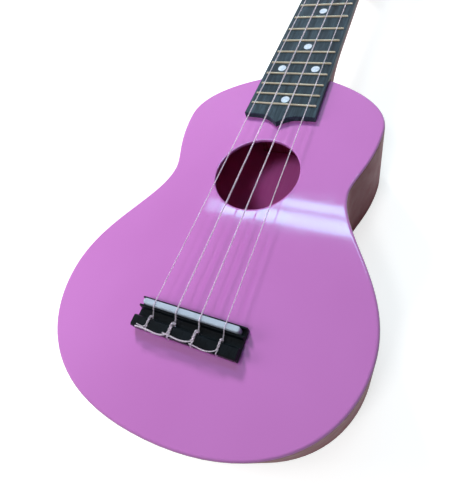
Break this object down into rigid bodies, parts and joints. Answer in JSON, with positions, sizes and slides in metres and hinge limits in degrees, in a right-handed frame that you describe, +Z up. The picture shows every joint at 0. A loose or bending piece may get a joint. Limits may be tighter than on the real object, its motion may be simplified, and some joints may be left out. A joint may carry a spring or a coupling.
{
  "type": "soprano ukulele",
  "caption": "Small four-course lute with a figure-eight body, round soundhole, tie bridge, fretted neck, tilted headstock and geared tuning machines.",
  "frame": {"origin": "on the outer face of the back, straight below the middle of the saddle", "axes": "+X across the body towards the thinnest outer string, the player's A string; +Y from the saddle towards the head; +Z up out of the soundboard"},
  "size_m": [0.1744, 0.5126, 0.061],
  "materials": {
    "pink_lacquer": "gloss lacquer over wood",
    "dark_lacquer": "gloss lacquer over wood",
    "neck_lacquer": "gloss lacquer over wood",
    "fingerboard_wood": "satin dyed wood",
    "bridge_plastic": "satin",
    "bone_plastic": "satin",
    "fret_wire": "polished",
    "nylon": "gloss",
    "lining_wood": "bare",
    "block_wood": "bare",
    "brace_wood": "bare",
    "chrome": "polished",
    "brass": "machined",
    "button_plastic": "gloss"
  },
  "bodies": {
    "instrument": {"soundboard": "pink_lacquer", "back_plate": "dark_lacquer", "side_bass": "dark_lacquer", "side_treble": "dark_lacquer", "soundboard_lining": "lining_wood", "back_lining": "lining_wood", "neck_block": "block_wood", "tail_block": "block_wood", "soundboard_brace_upper": "brace_wood", "soundboard_brace_lower": "brace_wood", "back_brace_upper": "brace_wood", "back_brace_lower": "brace_wood", "neck": "neck_lacquer", "fingerboard": "fingerboard_wood", "nut": "bone_plastic", "bridge": "bridge_plastic", "saddle": "bone_plastic", "fret_01": "fret_wire", "fret_02": "fret_wire", "fret_03": "fret_wire", "fret_04": "fret_wire", "fret_05": "fret_wire", "fret_06": "fret_wire", "fret_07": "fret_wire", "fret_08": "fret_wire", "fret_09": "fret_wire", "fret_10": "fret_wire", "fret_11": "fret_wire", "fret_12": "fret_wire", "fret_13": "fret_wire", "fret_14": "fret_wire", "fret_15": "fret_wire", "string_g": "nylon", "string_c": "nylon", "string_e": "nylon", "string_a": "nylon", "tuner_plate_g": "chrome", "tuner_plate_c": "chrome", "tuner_plate_e": "chrome", "tuner_plate_a": "chrome", "tuner_ferrule_g": "chrome", "tuner_ferrule_c": "chrome", "tuner_ferrule_e": "chrome", "tuner_ferrule_a": "chrome"},
    "knob_g": {"tuner_worm_g": "chrome", "tuner_button_g": "button_plastic"},
    "post_g": {"tuner_post_g": "chrome", "tuner_wheel_g": "brass"},
    "knob_c": {"tuner_worm_c": "chrome", "tuner_button_c": "button_plastic"},
    "post_c": {"tuner_post_c": "chrome", "tuner_wheel_c": "brass"},
    "knob_e": {"tuner_worm_e": "chrome", "tuner_button_e": "button_plastic"},
    "post_e": {"tuner_post_e": "chrome", "tuner_wheel_e": "brass"},
    "knob_a": {"tuner_worm_a": "chrome", "tuner_button_a": "button_plastic"},
    "post_a": {"tuner_post_a": "chrome", "tuner_wheel_a": "brass"}
  },
  "joints": [
    {"name": "knob_g_turn", "type": "hinge", "parent": "instrument", "child": "knob_g", "pos_m": [-0.0175, 0.36804, 0.03245], "axis": [1, 0, 0], "continuous": true},
    {"name": "knob_c_turn", "type": "hinge", "parent": "instrument", "child": "knob_c", "pos_m": [-0.0175, 0.40312, 0.02435], "axis": [1, 0, 0], "continuous": true},
    {"name": "knob_e_turn", "type": "hinge", "parent": "instrument", "child": "knob_e", "pos_m": [0.0175, 0.40312, 0.02435], "axis": [1, 0, 0], "continuous": true},
    {"name": "knob_a_turn", "type": "hinge", "parent": "instrument", "child": "knob_a", "pos_m": [0.0175, 0.36804, 0.03245], "axis": [1, 0, 0], "continuous": true},
    {"name": "post_g_turn", "type": "hinge", "parent": "instrument", "child": "post_g", "pos_m": [-0.0175, 0.37758, 0.0459], "axis": [0, 0.225, 0.9744], "continuous": true, "deforming": ["string_g"]},
    {"name": "post_c_turn", "type": "hinge", "parent": "instrument", "child": "post_c", "pos_m": [-0.0175, 0.41266, 0.0378], "axis": [0, 0.225, 0.9744], "continuous": true, "deforming": ["string_c"]},
    {"name": "post_e_turn", "type": "hinge", "parent": "instrument", "child": "post_e", "pos_m": [0.0175, 0.41266, 0.0378], "axis": [0, 0.225, 0.9744], "continuous": true, "deforming": ["string_e"]},
    {"name": "post_a_turn", "type": "hinge", "parent": "instrument", "child": "post_a", "pos_m": [0.0175, 0.37758, 0.0459], "axis": [0, 0.225, 0.9744], "continuous": true, "deforming": ["string_a"]}
  ],
  "couplings": [
    {"joint": "post_g_turn", "follows": "knob_g_turn", "ratio": -0.071429},
    {"joint": "post_c_turn", "follows": "knob_c_turn", "ratio": -0.071429},
    {"joint": "post_e_turn", "follows": "knob_e_turn", "ratio": -0.071429},
    {"joint": "post_a_turn", "follows": "knob_a_turn", "ratio": -0.071429}
  ]
}
